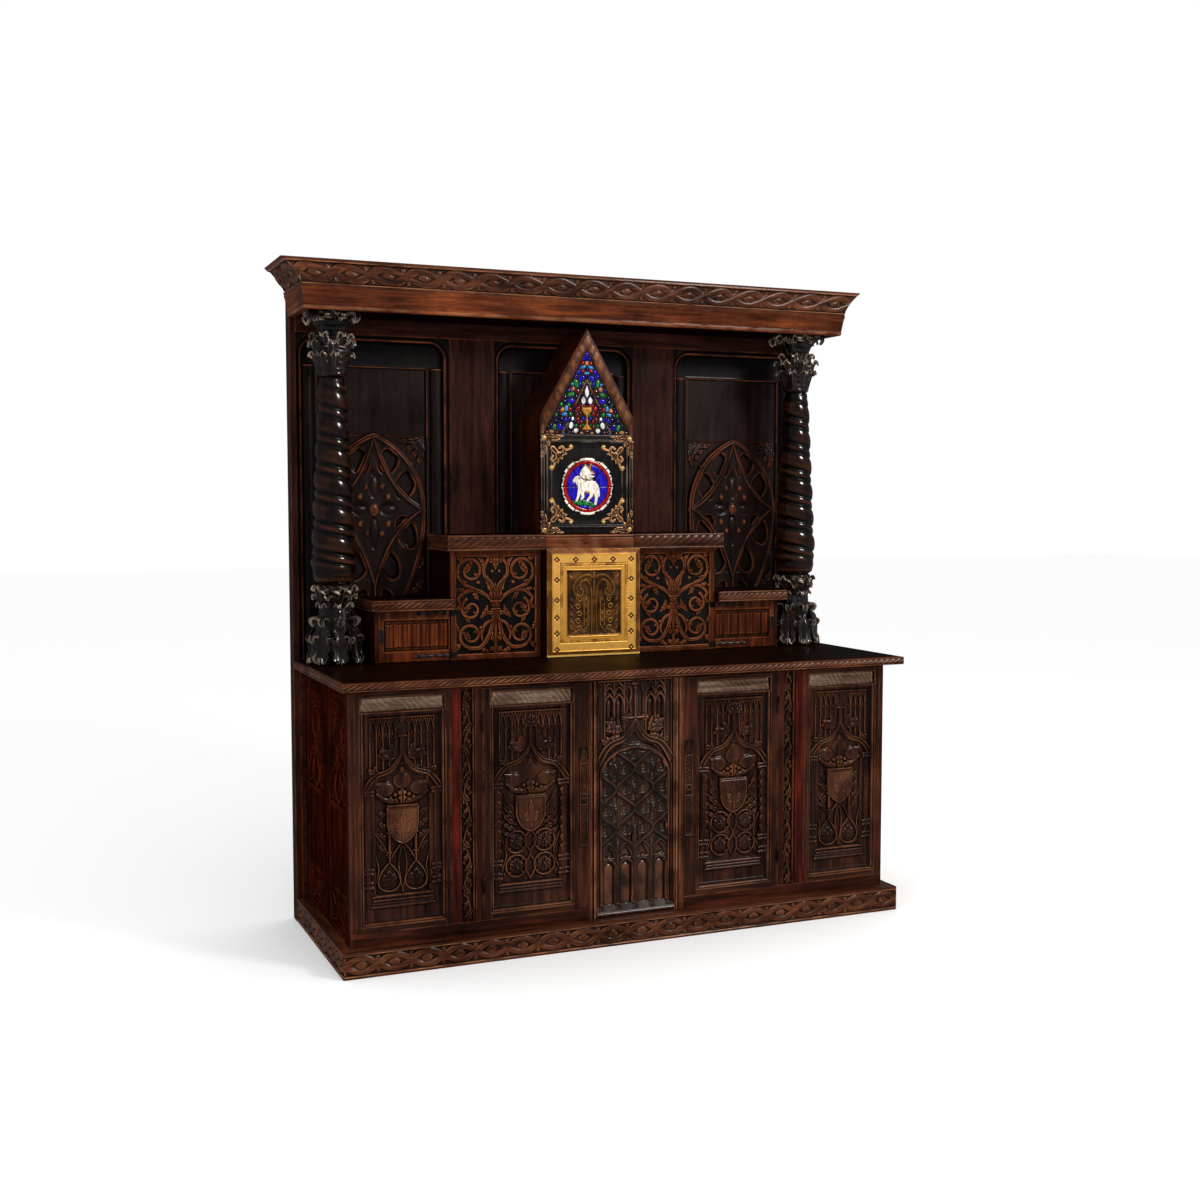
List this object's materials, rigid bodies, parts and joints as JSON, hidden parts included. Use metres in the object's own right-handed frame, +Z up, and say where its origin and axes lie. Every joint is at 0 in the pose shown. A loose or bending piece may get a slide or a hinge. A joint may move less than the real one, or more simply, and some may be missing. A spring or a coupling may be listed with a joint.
{
  "type": "carved altar with reredos",
  "caption": "Carved Gothic altar: cupboards with traceried doors under a table, tabernacle with brass door, leaded gable, twisted columns and a cornice.",
  "frame": {"origin": "on the floor, at the middle of the bounding box in width and depth", "axes": "+X to the right as seen from the front, +Y to the back, +Z up; the front faces -Y"},
  "size_m": [2.38, 0.842, 2.452],
  "materials": {
    "carved_oak": "waxed, worn pale on the ridges",
    "dark_oak": "dark satin polish",
    "red_oak": "red-brown satin polish",
    "panel_oak": "dark waxed carving",
    "centre_oak": "grey-brown waxed carving",
    "back_oak": "dark maroon polish",
    "black_oak": "ebonised, high gloss",
    "light_oak": "orange-brown polish",
    "gilded_oak": "ebonised with gilt foliage",
    "bright_brass": "polished",
    "aged_brass": "toned, embossed",
    "hinge_brass": "aged",
    "black_iron": "forged, blackened",
    "bolt_steel": "brushed",
    "leaded_glass": "coloured pieces in lead cames",
    "roundel_glass": "painted glass roundel"
  },
  "bodies": {
    "altar": {"plinth_boards": "carved_oak", "cabinet_partitions": "dark_oak", "cupboard_shelves": "dark_oak", "front_frame": "red_oak", "vine_strips": "carved_oak", "outer_bay_frames": "panel_oak", "outer_bay_panels": "panel_oak", "bay_carvings": "panel_oak", "centre_frame": "panel_oak", "centre_panel": "centre_oak", "side_frames": "red_oak", "side_panels": "red_oak", "table_top": "dark_oak", "back_frame": "back_oak", "back_panels": "back_oak", "almond_tracery": "back_oak", "column_bases": "black_oak", "column_shafts": "black_oak", "column_capitals": "black_oak", "cornice_frieze": "carved_oak", "cornice_fascia": "light_oak", "cornice_boards": "dark_oak", "gradine_top": "carved_oak", "gradine_case": "dark_oak", "scroll_grilles": "carved_oak", "tabernacle_box": "dark_oak", "gable_walls": "dark_oak", "gable_trim": "carved_oak", "gable_glass": "leaded_glass", "medallion_panel": "gilded_oak", "medallion": "roundel_glass", "side_box_tops": "carved_oak", "side_box_cases": "dark_oak", "hinge_fixed_leaves": "hinge_brass", "hinge_pins": "hinge_brass", "box_hinge_pintles": "black_iron"},
    "left_door": {"left_door_frame": "panel_oak", "left_door_panel": "panel_oak", "left_door_carving": "panel_oak", "left_door_hinge_leaves": "hinge_brass", "left_door_lock": "black_iron"},
    "right_door": {"right_door_frame": "panel_oak", "right_door_panel": "panel_oak", "right_door_carving": "panel_oak", "right_door_hinge_leaves": "hinge_brass", "right_door_lock": "black_iron"},
    "left_box_door": {"left_box_door": "light_oak", "left_box_ironwork": "black_iron"},
    "right_box_door": {"right_box_door": "light_oak", "right_box_ironwork": "black_iron"},
    "tabernacle_door": {"tabernacle_door": "dark_oak", "tabernacle_border": "bright_brass", "tabernacle_relief": "aged_brass", "tabernacle_hinge_leaves": "hinge_brass", "tabernacle_lock": "black_iron"},
    "left_door_bolt": {"left_door_bolt": "bolt_steel"},
    "right_door_bolt": {"right_door_bolt": "bolt_steel"},
    "left_box_bolt": {"left_box_bolt": "bolt_steel"},
    "right_box_bolt": {"right_box_bolt": "bolt_steel"},
    "tabernacle_bolt": {"tabernacle_bolt": "bolt_steel"}
  },
  "joints": [
    {"name": "left_door_hinge", "type": "hinge", "parent": "altar", "child": "left_door", "pos_m": [-0.587, -0.348, 0.545], "axis": [0, 0, -1], "range_deg": [0, 105]},
    {"name": "right_door_hinge", "type": "hinge", "parent": "altar", "child": "right_door", "pos_m": [0.587, -0.348, 0.545], "axis": [0, 0, 1], "range_deg": [0, 105]},
    {"name": "left_box_hinge", "type": "hinge", "parent": "altar", "child": "left_box_door", "pos_m": [-0.557, 0.1145, 1.1], "axis": [0, 0, 1], "range_deg": [0, 105]},
    {"name": "right_box_hinge", "type": "hinge", "parent": "altar", "child": "right_box_door", "pos_m": [0.557, 0.1145, 1.1], "axis": [0, 0, -1], "range_deg": [0, 105]},
    {"name": "tabernacle_hinge", "type": "hinge", "parent": "altar", "child": "tabernacle_door", "pos_m": [0.2, 0.069, 1.21], "axis": [0, 0, 1], "range_deg": [0, 105]},
    {"name": "left_door_lock_throw", "type": "slide", "parent": "left_door", "child": "left_door_bolt", "axis": [1, 0, 0], "range_m": [0, 0.008]},
    {"name": "right_door_lock_throw", "type": "slide", "parent": "right_door", "child": "right_door_bolt", "axis": [-1, 0, 0], "range_m": [0, 0.008]},
    {"name": "left_box_lock_throw", "type": "slide", "parent": "left_box_door", "child": "left_box_bolt", "axis": [-1, 0, 0], "range_m": [0, 0.008]},
    {"name": "right_box_lock_throw", "type": "slide", "parent": "right_box_door", "child": "right_box_bolt", "axis": [1, 0, 0], "range_m": [0, 0.008]},
    {"name": "tabernacle_lock_throw", "type": "slide", "parent": "tabernacle_door", "child": "tabernacle_bolt", "axis": [-1, 0, 0], "range_m": [0, 0.008]}
  ]
}
